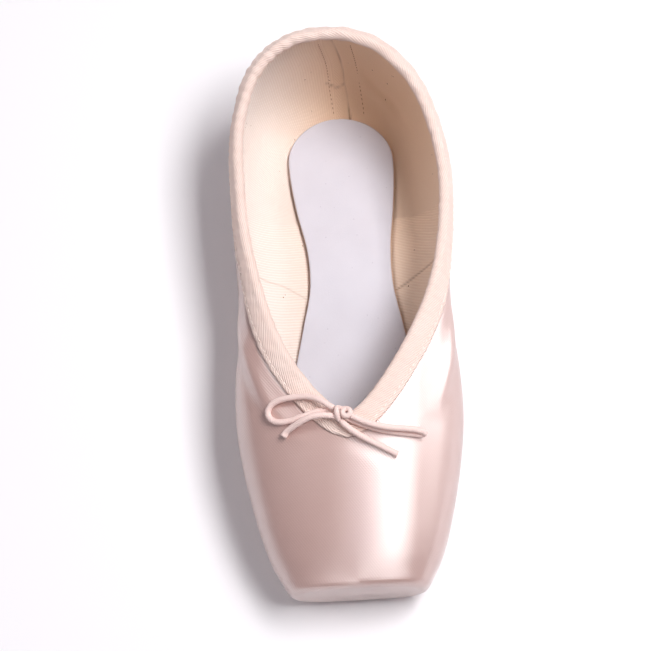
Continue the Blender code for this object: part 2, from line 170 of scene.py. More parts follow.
Section = namedtuple("Section", "y reach widest rim flat bottom low high")
SECTIONS = (
    Section(-112.5, 28.8, 17.0, 31.8, 12.0, 1.8, 2.5, 2.8),
    Section(-104.0, 33.4, 18.0, 36.6, 16.0, 2.2, 2.4, 2.7),
    Section(-94.0, 37.0, 19.5, 41.0, 20.0, 2.8, 2.3, 2.6),
    Section(-80.0, 40.6, 21.5, 45.4, 25.0, 2.8, 2.3, 2.5),
    Section(-64.0, 43.8, 23.5, 49.0, 29.0, 2.8, 2.2, 2.4),
    Section(-48.0, 45.7, 25.5, 51.0, 31.0, 2.8, 2.2, 2.3),
    Section(-30.0, 45.5, 27.5, 50.4, 29.5, 2.8, 2.1, 2.3),
    Section(-10.0, 43.6, 30.0, 47.8, 25.5, 2.8, 2.0, 2.3),
    Section(8.0, 43.0, 32.0, 46.0, 23.0, 2.8, 2.0, 2.3),
    Section(28.0, 44.6, 33.0, 45.6, 22.8, 2.8, 2.0, 2.3),
    Section(50.0, 45.6, 33.0, 47.0, 25.5, 2.8, 2.0, 2.3),
)
HEEL = Section(HEEL_Y, HEEL_Y - PIVOT_Y, 28.0, 60.5, 50.0, 2.8, 2.1, 2.3)
HEEL_END = PIVOT_Y + HEEL.reach * pi / 2

Width = namedtuple("Width", "y half shift")
SOLE_ROWS = (
    Width(-94.0, 24.0, 0.0), Width(-74.0, 24.5, 0.0), Width(-52.0, 26.0, 0.0),
    Width(-30.0, 23.5, 0.0), Width(-5.0, 16.5, 0.0), Width(20.0, 13.0, 0.0),
    Width(45.0, 15.5, 0.0), Width(72.0, 20.0, 0.0), Width(98.0, 20.0, 0.0),
)
INSOLE_ROWS = (
    Width(-86.0, 23.0, 0.0), Width(-66.0, 26.5, 0.0), Width(-44.0, 28.0, 1.0),
    Width(-22.0, 25.5, 2.0), Width(0.0, 21.0, 2.5), Width(18.0, 17.4, 2.8),
    Width(36.0, 17.6, 2.4), Width(56.0, 20.6, 1.4), Width(74.0, 22.3, 0.8),
    Width(98.0, 22.0, 0.0),
)


def smoothstep(a, b, t):
    t = min(max((t - a) / (b - a), 0.0), 1.0)
    return t * t * (3 - 2 * t)


def read_rows(rows, name, y):
    # Smooth curve through one column of a table, flat beyond its ends.
    ys = [row.y for row in rows]
    values = [getattr(row, name) for row in rows]
    if y <= ys[0]:
        return values[0]
    if y >= ys[-1]:
        return values[-1]
    i = max(k for k in range(len(ys) - 1) if ys[k] <= y)
    span = ys[i + 1] - ys[i]
    t = (y - ys[i]) / span

    def slope(k):
        a, b = max(k - 1, 0), min(k + 1, len(ys) - 1)
        return (values[b] - values[a]) / (ys[b] - ys[a]) * span

    h = values[i + 1] - values[i]
    start, end = slope(i), slope(i + 1)
    return values[i] + t * start + t * t * (3 * h - 2 * start - end) + t ** 3 * (start + end - 2 * h)


def ground(y):
    # Height of the outsole's underside: toe spring, forefoot, arch, heel.
    if y < FLAT_FRONT:
        return TOE_SPRING * ((FLAT_FRONT - y) / (FLAT_FRONT - TIP_Y)) ** 2
    if ARCH_FRONT < y < ARCH_BACK:
        return ARCH_RISE * sin(pi * (y - ARCH_FRONT) / (ARCH_BACK - ARCH_FRONT)) ** 2
    return 0.0


def oval_reach(side, back, curve, angle):
    return (abs(cos(angle) / side) ** curve + abs(sin(angle) / back) ** curve) ** (-1 / curve)


def wall_at(y):
    return BOX_WALL - (BOX_WALL - WALL) * smoothstep(BOX_FRONT, BOX_BACK, y)


def outline_half(rows, inset, y):
    front, back = rows[0].y + inset, rows[-1].y - inset
    if y <= front or y >= back:
        return 0.0
    turn = SOLE_TURN - inset
    half = read_rows(rows, "half", y) - inset
    from_end = min(y - front, back - y)
    if from_end < turn:
        half *= sqrt(1 - ((turn - from_end) / turn) ** 2)
    return half


def outline_reach(rows, inset, angle):
    near, far = 0.0, 2 * HEEL.reach
    for _ in range(30):
        middle = (near + far) / 2
        if middle * cos(angle) < outline_half(rows, inset, PIVOT_Y + middle * sin(angle)):
            near = middle
        else:
            far = middle
    return near


def rim_half(y):
    if y <= THROAT_Y:
        return 0.0
    u = (PIVOT_Y - y) / (PIVOT_Y - THROAT_Y)
    return RIM_HALF * (1 - u * u) ** (1 / V_FALL)


stations_read = {}


def station(t):
    # Section at t, which is y ahead of the pivot and y + arc length behind it.
    if t in stations_read:
        return stations_read[t]
    if t <= PIVOT_Y:
        values = [read_rows(SECTIONS, name, t) for name in Section._fields[1:]]
        found = 0.0, t, Section(t, *values), rim_half(t), outline_half(SOLE_ROWS, SOLE_MARGIN, t)
    else:
        angle = (t - PIVOT_Y) / HEEL.reach
        side, back = SECTIONS[-1], HEEL
        share = sin(angle) ** 2
        blend = {n: getattr(side, n) * (1 - share) + getattr(back, n) * share for n in Section._fields}
        blend["reach"] = oval_reach(side.reach, back.reach, HEEL_CURVE, angle)
        blend["flat"] = oval_reach(side.flat, back.flat, SEAT_CURVE, angle)
        rim = oval_reach(RIM_HALF, RIM_BACK, RIM_CURVE, angle)
        found = angle, PIVOT_Y, Section(**blend), rim, outline_reach(SOLE_ROWS, SOLE_MARGIN, angle)
    stations_read[t] = found
    return found


def rim_angle(row, rim):
    return acos(min((rim / row.reach) ** (row.high / 2), 1.0))


def crown_height(row, rim):
    return row.widest + (row.rim - row.widest) / sin(rim_angle(row, rim)) ** (2 / row.high)


def sway(x, y, z):
    lift = smoothstep(SWAY_FROM, SWAY_TO, z)
    waist = smoothstep(-35.0, 15.0, y) * (1 - smoothstep(45.0, 85.0, y))
    return x + lift * (WAIST_SWAY * waist - HEEL_SWAY * smoothstep(80.0, 112.0, y))


def place(angle, origin_y, reach, z, side, low_share=0.0):
    y = origin_y + reach * sin(angle)
    z = z + ground(y) * low_share
    return Vector((sway(reach * cos(angle) * side, y, z), y, z))


def upper_point(t, b, side):
    # Point of the outer face above its widest line, b from 0 to pi / 2.
    angle, origin_y, row, rim, _ = station(t)
    crown = crown_height(row, rim)
    reach = row.reach * max(cos(b), 0.0) ** (2 / row.high)
    z = row.widest + (crown - row.widest) * max(sin(b), 0.0) ** (2 / row.high)
    return place(angle, origin_y, reach, z, side)


def vamp_height(x, y):
    _, _, row, rim, _ = station(y)
    share = min(abs(x) / row.reach, 1.0) ** row.high
    return row.widest + (crown_height(row, rim) - row.widest) * (1 - share) ** (1 / row.high)


# Bow of the drawstring
# Two ends of one soft cotton cord leave the casing at the throat and are tied in a bow.
# Each cord runs from the knot round its loop, back through the knot, and ends as a tail.

CORD_ACROSS, KNOT_ACROSS = 2.4, 2.05        # the cord is squeezed where it is knotted
LOOP_LEFT = (
    (-5.0, -51.2, 5.6), (-8.6, -48.6, 5.5), (-12.0, -46.4, 4.7), (-16.0, -45.0, 3.7),
    (-20.5, -44.5, 3.0), (-25.0, -44.5, 2.6), (-29.0, -45.4, 2.2), (-31.0, -47.6, 1.9),
    (-30.8, -50.2, 1.7), (-28.6, -52.4, 1.6), (-25.4, -53.2, 1.6), (-21.6, -53.1, 1.8),
    (-17.6, -52.4, 2.5), (-13.4, -51.4, 2.6), (-9.4, -51.0, 2.8), (-5.3, -51.2, 3.0),
)
END_LEFT = (
    (-5.4, -54.0, 4.7), (-9.4, -53.6, 5.5), (-13.6, -53.8, 5.6), (-17.4, -54.8, 4.8),
    (-20.8, -55.9, 3.2), (-23.8, -57.2, 1.9), (-25.4, -58.9, 1.6),
)
LOOP_RIGHT = (
    (1.8, -54.6, 5.3), (6.0, -56.6, 5.1), (11.0, -58.5, 5.1), (17.0, -59.6, 5.0),
    (22.6, -59.9, 4.8), (26.6, -60.2, 4.7), (28.9, -60.6, 4.2), (29.7, -60.9, 3.1),
    (28.9, -61.1, 2.0), (26.4, -61.1, 1.5), (22.6, -60.8, 1.5), (17.0, -60.2, 1.7),
    (11.0, -59.0, 2.3), (6.2, -57.4, 2.6), (2.2, -55.6, 2.7),
)
END_RIGHT = (
    (-1.6, -56.7, 4.1), (1.4, -59.3, 3.2), (4.9, -61.7, 2.9), (9.2, -64.0, 2.0),
    (14.2, -66.5, 1.5), (18.9, -69.0, 1.5),
)
KNOT_AT = (-1.6, -52.9, 4.25)
# What each cord does inside the knot
CROSS_LEFT = ((-3.6, -53.0, 3.1), (-2.4, -55.0, 3.6))
CROSS_RIGHT = ((-0.6, -54.6, 3.2), (-3.2, -54.2, 4.1))
# Wrap over the strands, then the small curl that stands up at its right
KNOT_WRAP = (
    (-2.8, -54.4, 2.4), (-3.2, -55.3, 4.0), (-3.5, -54.8, 5.8), (-3.7, -53.2, 6.8),
    (-3.6, -51.6, 6.2), (-3.0, -50.9, 4.6), (-1.5, -51.3, 4.4), (0.0, -51.6, 5.2),
    (1.3, -52.4, 6.0), (1.4, -54.0, 6.4), (0.1, -54.9, 6.5), (-1.3, -54.2, 6.3),
    (-1.4, -52.7, 6.1), (-0.4, -51.9, 5.3), (0.3, -51.9, 4.2),
)
CORD_RING_EVERY = 0.5
CORD_SIDES = 16
CURVE_STEPS = 14


def over_vamp(point):
    x, y, lift = point
    return Vector((x, y, vamp_height(x, y) + lift))


def smooth_line(points):
    # A fine smooth curve through a short list of points.
    last = len(points) - 1
    fine = []
    for i in range(last):
        p0, p1 = points[max(i - 1, 0)], points[i]
        p2, p3 = points[i + 1], points[min(i + 2, last)]
        for k in range(CURVE_STEPS):
            t = k / CURVE_STEPS
            bend = 2 * p0 - 5 * p1 + 4 * p2 - p3
            twist = 3 * p1 - p0 - 3 * p2 + p3
            fine.append(p1 + 0.5 * ((p2 - p0) * t + bend * t * t + twist * t ** 3))
    return fine + [points[-1]]


def evenly(line, spacing, *columns):
    # The line, and any columns that go with it, read again at even distances.
    line = np.array([tuple(p) for p in line], float)
    lengths = np.concatenate([[0.0], np.cumsum(np.linalg.norm(np.diff(line, axis=0), axis=1))])
    count = max(2, round(lengths[-1] / spacing)) + 1
    goals = np.linspace(0.0, lengths[-1], count)
    read = []
    for column in (line, *columns):
        values = np.array([tuple(p) for p in column], float)
        read.append(np.stack([np.interp(goals, lengths, values[:, k]) for k in range(3)], axis=1))
    return read[0] if not columns else read


def tube(bm, line, radius, sides, uv_layer=None, flare=0.0, relief=0.0):
    # A round cord along a line, closed at both ends. Its surface is lightly roped.
    line = [Vector(p) for p in line]
    rings = []
    up = Vector((0.0, 0.0, 1.0))
    far = 0.0
    for i, p in enumerate(line):
        ahead = (line[min(i + 1, len(line) - 1)] - line[max(i - 1, 0)]).normalized()
        side = ahead.cross(up).normalized()
        up = side.cross(ahead).normalized()
        if i:
            far += (p - line[i - 1]).length
        swell = radius * (1 + flare * smoothstep(len(line) - 5, len(line) - 1, i))
        ring = []
        for k in range(sides):
            turn = 2 * pi * k / sides
            out = swell + relief * sin(4 * turn + 2 * pi * far / (3.2 * radius))
            ring.append(bm.verts.new((p + (side * cos(turn) + up * sin(turn)) * out) * MM))
        rings.append((ring, far))
    for (a, va), (b, vb) in zip(rings, rings[1:]):
        for k in range(sides):
            n = (k + 1) % sides
            face = bm.faces.new((a[k], a[n], b[n], b[k]))
            face.smooth = True
            if uv_layer:
                ua, ub = 2 * pi * radius * k / sides, 2 * pi * radius * (k + 1) / sides
                for loop, uv in zip(face.loops, ((ua, va), (ub, va), (ub, vb), (ua, vb))):
                    loop[uv_layer].uv = uv
    bm.faces.new(rings[0][0][::-1])
    bm.faces.new(rings[-1][0])


def add_piece(name, mesh, finish, nodes=()):
    made = bpy.data.objects.new(name, mesh)
    bpy.context.scene.collection.objects.link(made)
    mesh.materials.append(finish)
    if nodes:
        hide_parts(*nodes)
    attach(made, "root")
    return made


# Mercerised cotton cord: matt and pale, with a knitted skin whose small stitches catch light
cotton_cord, tree, shader = start_finish("knitted_cotton_cord", "#F6DDD6", Roughness=0.75, Sheen_Weight=0.3)
shader.inputs["Sheen Roughness"].default_value = 0.5
uv = add_node(tree, "UVMap", uv_map="cloth")
knit = add_node(
    tree, "TexWave", {"Scale": 0.31416 / 0.7, "Distortion": 1.2, "Detail": 1.0, "Detail Scale": 2.0},
    {"Vector": add_node(tree, "Mapping", {"Rotation": (0, 0, radians(35))}, {"Vector": uv.outputs[0]}).outputs[0]},
    wave_type="BANDS", bands_direction="Y",
)
fuzz = add_node(tree, "TexNoise", {"Scale": 1.6, "Detail": 3.0}, {"Vector": uv.outputs[0]})
height = add_node(tree, "Math", {2: 0.0}, {0: knit.outputs["Fac"], 1: fuzz.outputs["Fac"]}, operation="ADD")
bump = add_node(tree, "Bump", {"Strength": 0.8, "Distance": 0.00008}, {"Height": height.outputs[0]})
tint = add_node(
    tree, "Mix", {"A": linear("#E9C8BF"), "B": linear("#F6DFD9")}, {"Factor": fuzz.outputs["Fac"]}, data_type="RGBA"
)
tree.links.new(tint.outputs["Result"], shader.inputs["Base Color"])
tree.links.new(bump.outputs[0], shader.inputs["Normal"])


def add_cord(name, route, nodes):
    line = evenly(smooth_line([over_vamp(p) for p in route]), CORD_RING_EVERY)
    bm = bmesh.new()
    tube(bm, line, CORD_ACROSS / 2, CORD_SIDES, bm.loops.layers.uv.new("cloth"), flare=0.14, relief=0.035)
    mesh = bpy.data.meshes.new(name)
    bm.to_mesh(mesh)
    bm.free()
    made = add_piece(name, mesh, cotton_cord, nodes)
    return made, [tuple(p * MM) for p in line[::3]] + [tuple(line[-1] * MM)]


knot_line = evenly(smooth_line([over_vamp(p) for p in KNOT_WRAP]), CORD_RING_EVERY)
bm = bmesh.new()
tube(bm, knot_line, KNOT_ACROSS / 2, CORD_SIDES, bm.loops.layers.uv.new("cloth"), relief=0.035)
knot_mesh = bpy.data.meshes.new("knot")
bm.to_mesh(knot_mesh)
bm.free()
knot = add_piece("knot", knot_mesh, cotton_cord, ["bow_knot"])

left_cord, left_path = add_cord(
    "bow_cord_left", LOOP_LEFT + CROSS_LEFT + END_RIGHT, ["bow_loop_left", "bow_end_right"]
)
right_cord, right_path = add_cord(
    "bow_cord_right", LOOP_RIGHT + CROSS_RIGHT + END_LEFT, ["bow_loop_right", "bow_end_left"]
)


# Satin upper
# Glossy satin, cut in a vamp and two quarters, is drawn over the paste box and turned under.
# Under the toe its fullness is laid in pleats round the leather sole.

ROW_EVERY = 1.3
PLATFORM_SHARES = (0.0, 0.12, 0.25, 0.38, 0.5, 0.62, 0.73, 0.83, 0.91, 0.965)
EDGE_STEPS = 9
BOTTOM_STEPS, LOW_STEPS, HIGH_STEPS = 16, 24, 34
SATIN_THICK = 0.5
SIDE_SEAM_AT, BACK_SEAM_REACH = 22.0, 8.0
CLOTH_FINE = 0.45
RIM_CALM = (5.2, 7.6)       # folds begin this far below the collar, under the tape's edge


def steps(start, end, every, fine=()):
    # Even steps, closer near some places, each given as its centre, reach and spacing.
    found = [start]
    while found[-1] < end - 0.01:
        close = [spacing for centre, reach, spacing in fine if abs(found[-1] - centre) < reach]
        found.append(min(found[-1] + min(close + [every]), end))
    return found


def half_profile(t, side):
    # Points from the sole opening, or the bottom centre, up to the collar or the crest.
    angle, origin_y, row, rim, opening = station(t)
    points = []
    for i in range(BOTTOM_STEPS):
        reach = opening + (row.flat - opening) * i / BOTTOM_STEPS
        points.append(place(angle, origin_y, reach, row.bottom, side, 1.0))
    for i in range(LOW_STEPS):
        a = pi / 2 * i / LOW_STEPS
        out, up = sin(a) ** (2 / row.low), 1 - cos(a) ** (2 / row.low)
        z = row.bottom + (row.widest - row.bottom) * up
        points.append(place(angle, origin_y, row.flat + (row.reach - row.flat) * out, z, side, 1 - up))
    last = rim_angle(row, rim)
    points += [upper_point(t, last * i / HIGH_STEPS, side) for i in range(HIGH_STEPS + 1)]
    # How far each point lies from the crest that the whole last would have, over the cloth
    over = [upper_point(t, last + (pi / 2 - last) * i / 6, side) for i in range(7)]
    far = sum((b - a).length for a, b in zip(over, over[1:]))
    spans = [0.0]
    for a, b in zip(points[::-1], points[-2::-1]):
        spans.append(spans[-1] + (b - a).length)
    below = spans[::-1] if t >= THROAT_Y else [99.0] * len(points)
    return [(p, far + s, t, d) for p, s, d in zip(points, spans[::-1], below)]


def platform_rings(side):
    # The soft edge of the platform, which carries on the vamp's slope, and its flat face.
    base = half_profile(SECTIONS[0].y, side)
    before = half_profile(SECTIONS[0].y + 0.5, side)
    low, high = min(p.z for p, _, _, _ in base), max(p.z for p, _, _, _ in base)
    middle = (low + high) / 2
    wide, tall = 1 - EDGE_WIDE / SECTIONS[0].reach, 1 - EDGE_HIGH / (high - middle)
    rings = []
    for k in range(1, EDGE_STEPS + 1):
        s = k / EDGE_STEPS
        ring = []
        for (p, u, far, _), (q, _, _, _) in zip(base, before):
            end = Vector((p.x * wide, TIP_Y, middle + (p.z - middle) * tall))
            out = end + Vector((p.x - end.x, 0.0, p.z - end.z)) * EDGE_SOFT
            on = p + (p - q) * (2 * EDGE_SOFT * (SECTIONS[0].y - TIP_Y))
            curve = p * (1 - s) ** 3 + on * (3 * s * (1 - s) ** 2) + out * (3 * s * s * (1 - s)) + end * s ** 3
            ring.append((curve, u * (1 - s * (1 - wide)), far - s * (SECTIONS[0].y - TIP_Y) * 1.4, 99.0))
        rings.append(ring)
    edge = rings[-1]
    for share in PLATFORM_SHARES[::-1]:
        rings.append([
            (Vector((p.x * share, TIP_Y, middle + (p.z - middle) * share)), u * share, v - 14 * (1 - share), 99.0)
            for p, u, v, _ in edge
        ])
    return rings[::-1]


def last_rows(side):
    pleated = (-98.0, 14.0, 0.85)
    side_seam = (SIDE_SEAM_AT, 11.0, CLOTH_FINE)
    back_seam = (HEEL_END, BACK_SEAM_REACH, CLOTH_FINE)
    front = steps(SECTIONS[0].y, PIVOT_Y, ROW_EVERY, (pleated, side_seam))
    rows = [half_profile(t, side) for t in front]
    far, widest = PIVOT_Y, BOTTOM_STEPS + LOW_STEPS
    for t in steps(PIVOT_Y, HEEL_END, ROW_EVERY, (back_seam,))[1:]:
        row = half_profile(t, side)
        far += (row[widest][0] - rows[-1][widest][0]).length
        rows.append([(p, u, far, d) for p, u, _, d in row])
    return platform_rings(side) + rows


def add_sheet(bm, rows, side, uv_layer, depth_layer=None):
    # One side's grid of points with the cloth's own measure as its UV map.
    verts = []
    for row in rows:
        verts.append([bm.verts.new(p) for p, _, _, _ in row])
        if depth_layer:
            for vert, (_, _, _, below) in zip(verts[-1], row):
                vert[depth_layer] = below
    for i in range(len(rows) - 1):
        for j in range(len(rows[i]) - 1):
            places = [(i, j), (i, j + 1), (i + 1, j + 1), (i + 1, j)]
            if side > 0:
                places.reverse()
            face = bm.faces.new([verts[a][b] for a, b in places])
            face.smooth = True
            for loop, (a, b) in zip(face.loops, places):
                loop[uv_layer].uv = (rows[a][b][1] * side, rows[a][b][2])


both_sides = {side: last_rows(side) for side in (1, -1)}
Fold = namedtuple("Fold", "height width line")
# Folds of the satin, ridges with a height above 0 and troughs below it
SATIN_FOLDS = (
    Fold(1.1, 3.4, ((-44.6, 2, 31.5), (-44.2, -5, 33.5), (-43.2, -11.3, 36.2), (-41.6, -16.6, 39.2),
                    (-39.7, -22.2, 41.8), (-37.7, -27.7, 43.7), (-35.4, -33.9, 45.0), (-33.2, -39.3, 46.0),
                    (-30.4, -44.8, 46.9), (-27.0, -49.8, 47.6), (-23.2, -54.6, 48.0), (-19.8, -58.6, 47.9),
                    (-16.6, -62.6, 47.4))),
    Fold(0.8, 3.0, ((-44.0, 22, 30), (-44.2, 12, 31), (-43.8, 2, 32), (-43.2, -6, 33), (-43.0, -12, 33))),
    Fold(-0.3, 2.4, ((-46.0, -11, 29), (-45.3, -17.4, 32.5), (-43.6, -24.0, 36.5), (-41.4, -31.0, 39.8),
                     (-38.6, -39.0, 42.2), (-35.4, -46.6, 43.8), (-32.0, -53.0, 45.0))),
    Fold(1.1, 3.0, ((42.6, 6, 39.0), (43.0, -3, 39.0), (43.6, -8, 37.4), (43.6, -14, 37.0),
                    (42.6, -22, 38.4), (41.2, -30, 40.0), (38.8, -38, 41.8), (35.8, -46.3, 43.3),
                    (33.0, -54, 44.2))),
    Fold(-0.45, 2.4, ((2.0, -64.5, 49.6), (8.0, -66.4, 48.8), (14.0, -69.5, 47.6), (19.0, -73.0, 45.8))),
    # Slack of the quarters, low down beside the arch and round the heel
    Fold(0.5, 2.8, ((-44.0, 8, 22), (-43.6, 22, 18), (-44.0, 38, 20), (-45.0, 52, 26))),
    Fold(0.45, 2.8, ((44.0, 4, 20), (43.6, 18, 17), (44.0, 34, 21), (45.0, 46, 28))),
    Fold(-0.4, 2.2, ((-46.5, 58, 44), (-45.2, 68, 36), (-42.0, 78, 27), (-38.0, 86, 18))),
    Fold(-0.4, 2.2, ((46.5, 62, 43), (44.6, 72, 35), (41.0, 82, 26), (36.0, 90, 17))),
    Fold(0.35, 2.4, ((-30.0, 104, 46), (-26.0, 108, 36), (-22.0, 109, 26), (-19.0, 108, 16))),
    Fold(0.35, 2.4, ((30.0, 103, 44), (25.0, 108, 34), (21.0, 109, 24), (17.0, 109, 14))),
)
EDGE_PULL, EDGE_PULL_WIDE, EDGE_PULL_AT = 0.7, 1.9, 7.2     # the sewn tape draws the satin in
RIGHT_PULL = 0.15
SEAM_DEPTH, SEAM_WIDE = 0.45, 0.5
SIDE_SEAM = ((41.5, 30.0, 48.0), (43.4, 28.4, 44.0), (44.9, 26.4, 33.0), (43.0, 24.0, 20.0),
             (36.0, 22.2, 10.5), (29.0, 20.6, 5.2), (22.0, 18.4, 3.6), (14.0, 15.0, 3.0))
BACK_SEAM = ((-2.4, 111.0, 62.0), (-1.4, 114.0, 44.0), (0.0, 116.0, 28.0), (0.0, 113.0, 12.0),
             (0.0, 104.0, 4.0), (0.0, 92.0, 2.8))
PLEATS = 19
PLEAT_MIDDLE_Y, PLEAT_SPREAD = -76.0, radians(98)
PLEAT_DEEP, PLEAT_LONG = 0.9, 15.0


def along_line(points, line):
    # Each point's distance from a line, and how far along it that is, 0 to 1.
    line = evenly(smooth_line([Vector(p) for p in line]), 1.5)
    nearest = np.full(len(points), 1e9)
    share = np.zeros(len(points))
    for i, (a, b) in enumerate(zip(line, line[1:])):
        ab = b - a
        t = np.clip((points - a) @ ab / (ab @ ab), 0, 1)
        away = np.linalg.norm(points - a - t[:, None] * ab, axis=1)
        better = away < nearest
        nearest[better] = away[better]
        share[better] = (i + t[better]) / (len(line) - 1)
    return nearest, share


def fold_relief(points, folds):
    total = np.zeros(len(points))
    for fold in folds:
        away, share = along_line(points, fold.line)
        total += fold.height * np.exp(-(away / fold.width) ** 2) * np.sin(pi * np.clip(share, 0, 1)) ** 0.7
    return total


def seam_share(points, lines, width):
    share = np.zeros(len(points))
    for line in lines:
        share = np.maximum(share, np.exp(-(along_line(points, line)[0] / width) ** 2))
    return share


def pleat_relief(points):
    x, y, z = points.T
    angle = np.arctan2(x, PLEAT_MIDDLE_Y - y)
    far = np.hypot(x, PLEAT_MIDDLE_Y - y)
    sole = 1 / np.sqrt((np.sin(angle) / 24.5) ** 2 + (np.cos(angle) / 18.0) ** 2)
    past = (far - sole) / PLEAT_LONG
    window = np.clip(past * 8, 0, 1) * np.clip(1.25 - past, 0, 1) * (np.abs(angle) < PLEAT_SPREAD) * (z < 9)
    lean = angle + 0.05 * np.sin(3 * angle)
    return PLEAT_DEEP * window * (np.abs(np.sin(lean * PLEATS / 2)) ** 0.6 - 0.75)


def shell_mesh(name, shape):
    # Both sides of the last as one welded sheet. The shape says how far it stands out, in mm, and how much of a dark
    # seam line there is, which the finish reads; in the lining that line also holds painted shade.
    bm = bmesh.new()
    uv_layer = bm.loops.layers.uv.new("cloth")
    depth_layer = bm.verts.layers.float.new("below")
    for side, rows in both_sides.items():
        add_sheet(bm, rows, side, uv_layer, depth_layer)
    bmesh.ops.remove_doubles(bm, verts=bm.verts, dist=0.02)
    bmesh.ops.dissolve_degenerate(bm, edges=bm.edges, dist=0.002)
    bm.normal_update()
    bm.verts.ensure_lookup_table()
    points = np.array([v.co for v in bm.verts])
    normals = np.array([v.normal for v in bm.verts])
    below = np.array([v[depth_layer] for v in bm.verts])
    out, share = shape(points, normals, below)
    points = (points + normals * out[:, None]) * MM
    for vert, p in zip(bm.verts, points):
        vert.co = p
    mesh = bpy.data.meshes.new(name)
    bm.to_mesh(mesh)
    bm.free()
    mesh.attributes.new("seam", "FLOAT", "POINT").data.foreach_set("value", share.astype(np.float32))
    return mesh


def mirrored(line):
    return tuple((-x, y, z) for x, y, z in line)


def satin_shape(points, normals, below):
    calm = np.clip((below - RIM_CALM[0]) / (RIM_CALM[1] - RIM_CALM[0]), 0, 1)
    seam = seam_share(points, (SIDE_SEAM, mirrored(SIDE_SEAM), BACK_SEAM), SEAM_WIDE)
    pull = np.interp(points[:, 0], (-12.0, 12.0), (EDGE_PULL, RIGHT_PULL))
    pull *= np.exp(-((below - EDGE_PULL_AT) / EDGE_PULL_WIDE) ** 2)
    out = (fold_relief(points, SATIN_FOLDS) - pull - SEAM_DEPTH * seam) * calm + pleat_relief(points)
    return out, seam * calm


# Polyester satin: long floats that lie side by side give a silky, stretched highlight,
# and its fine slanting steps show where the light falls off. The steps are drawn 0.85 mm
# apart, which is coarser than real ones, so that they show at this size.
satin, tree, shader = start_finish(
    "pink_polyester_satin", "#BFA09C", IOR=2.9, Roughness=0.29, Anisotropic=0.85, Sheen_Weight=0.7
)
shader.inputs["Anisotropic Rotation"].default_value = 0.25
shader.inputs["Sheen Roughness"].default_value = 0.3
uv = add_node(tree, "UVMap", uv_map="cloth")
slanted = add_node(tree, "Mapping", {"Rotation": (0, 0, radians(-38))}, {"Vector": uv.outputs[0]})
twill = add_node(
    tree, "TexWave", {"Scale": 0.31416 / 0.85, "Distortion": 0.35, "Detail": 1.0, "Detail Scale": 0.6},
    {"Vector": slanted.outputs[0]}, wave_type="BANDS", bands_direction="X",
)
across = add_node(
    tree, "TexWave", {"Scale": 0.31416 / 0.9, "Distortion": 0.2}, {"Vector": uv.outputs[0]},
    wave_type="BANDS", bands_direction="Y",
)
grain = add_node(tree, "Math", {1: 0.4}, {0: across.outputs["Fac"]}, operation="MULTIPLY")
height = add_node(tree, "Math", {}, {0: twill.outputs["Fac"], 1: grain.outputs[0]}, operation="ADD")
bump = add_node(tree, "Bump", {"Strength": 0.6, "Distance": 0.00005}, {"Height": height.outputs[0]})
cloud = add_node(tree, "TexNoise", {"Scale": 0.045, "Detail": 2.0}, {"Vector": uv.outputs[0]})
shade = add_node(
    tree, "Mix", {"A": linear("#C39E95"), "B": linear("#CCAAA2")}, {"Factor": cloud.outputs["Fac"]}, data_type="RGBA"
)
step = add_node(tree, "Math", {1: 0.3}, {0: twill.outputs["Fac"]}, operation="MULTIPLY")
stepped = add_node(
    tree, "Mix", {"B": linear("#A98379")}, {"Factor": step.outputs[0], "A": shade.outputs["Result"]}, data_type="RGBA"
)
seam_mark = add_node(tree, "Attribute", attribute_name="seam")
seam_dark = add_node(
    tree, "Mix", {"B": linear("#A87C74")}, {"Factor": seam_mark.outputs["Fac"], "A": stepped.outputs["Result"]},
    data_type="RGBA",
)
around = add_node(tree, "Tangent", direction_type="RADIAL", axis="Y")
tree.links.new(seam_dark.outputs["Result"], shader.inputs["Base Color"])
tree.links.new(bump.outputs[0], shader.inputs["Normal"])
tree.links.new(around.outputs[0], shader.inputs["Tangent"])

upper = add_piece("satin_upper", shell_mesh("satin_upper", satin_shape), satin, ["upper"])
cloth = upper.modifiers.new("thickness", "SOLIDIFY")
cloth.thickness = SATIN_THICK * MM
cloth.offset = -1.0


# Lining
# Cream cotton drill, sewn at the sides and at the back of the heel and glued in by hand,
# so it keeps a few soft creases. It goes down under the edge of the insole.

LINING_THICK = 0.5
LINING_SEAM_WIDE = 0.32
LINING_SEAMS = (
    ((-39.0, 33.0, 46.5), (-41.6, 30.0, 40.0), (-41.6, 27.0, 28.0), (-38.4, 24.4, 18.0), (-32.9, 22.2, 12.1),
     (-29.3, 21.4, 10.1), (-25.6, 20.3, 8.9), (-20.3, 16.9, 8.4), (-15.8, 13.9, 8.3), (-12.0, 11.6, 8.2)),
    ((43.4, 33.0, 46.5), (43.6, 30.0, 40.0), (42.0, 27.0, 28.0), (38.6, 25.0, 18.0), (34.0, 23.1, 13.1),
     (29.6, 20.9, 10.2), (25.2, 18.2, 8.9), (21.3, 15.9, 8.4), (16.0, 13.0, 8.2)),
)
HEEL_SEAM = ((0.2, 110.5, 59.0), (1.0, 111.7, 51.5), (2.3, 113.3, 40.7), (3.4, 113.9, 30.6), (4.1, 113.2, 20.7),
             (4.2, 111.0, 13.7), (4.9, 108.0, 9.0), (5.2, 103.9, 5.7), (5.4, 100.5, 4.8), (5.4, 92.0, 4.6))
HEEL_ROWS = (
    ((-4.8, 112.4, 48.9), (-3.8, 113.7, 38.2), (-2.8, 114.0, 27.6), (-2.5, 112.8, 18.7), (-2.5, 110.9, 13.1),
     (-2.1, 107.5, 8.2), (-1.6, 103.2, 5.2), (-1.3, 100.0, 4.7)),
    ((8.5, 112.0, 46.8), (9.5, 113.4, 32.5), (10.2, 113.0, 22.1), (10.6, 111.0, 14.7), (11.0, 107.8, 9.6),
     (11.5, 103.6, 6.3), (11.7, 99.5, 4.9)),
)
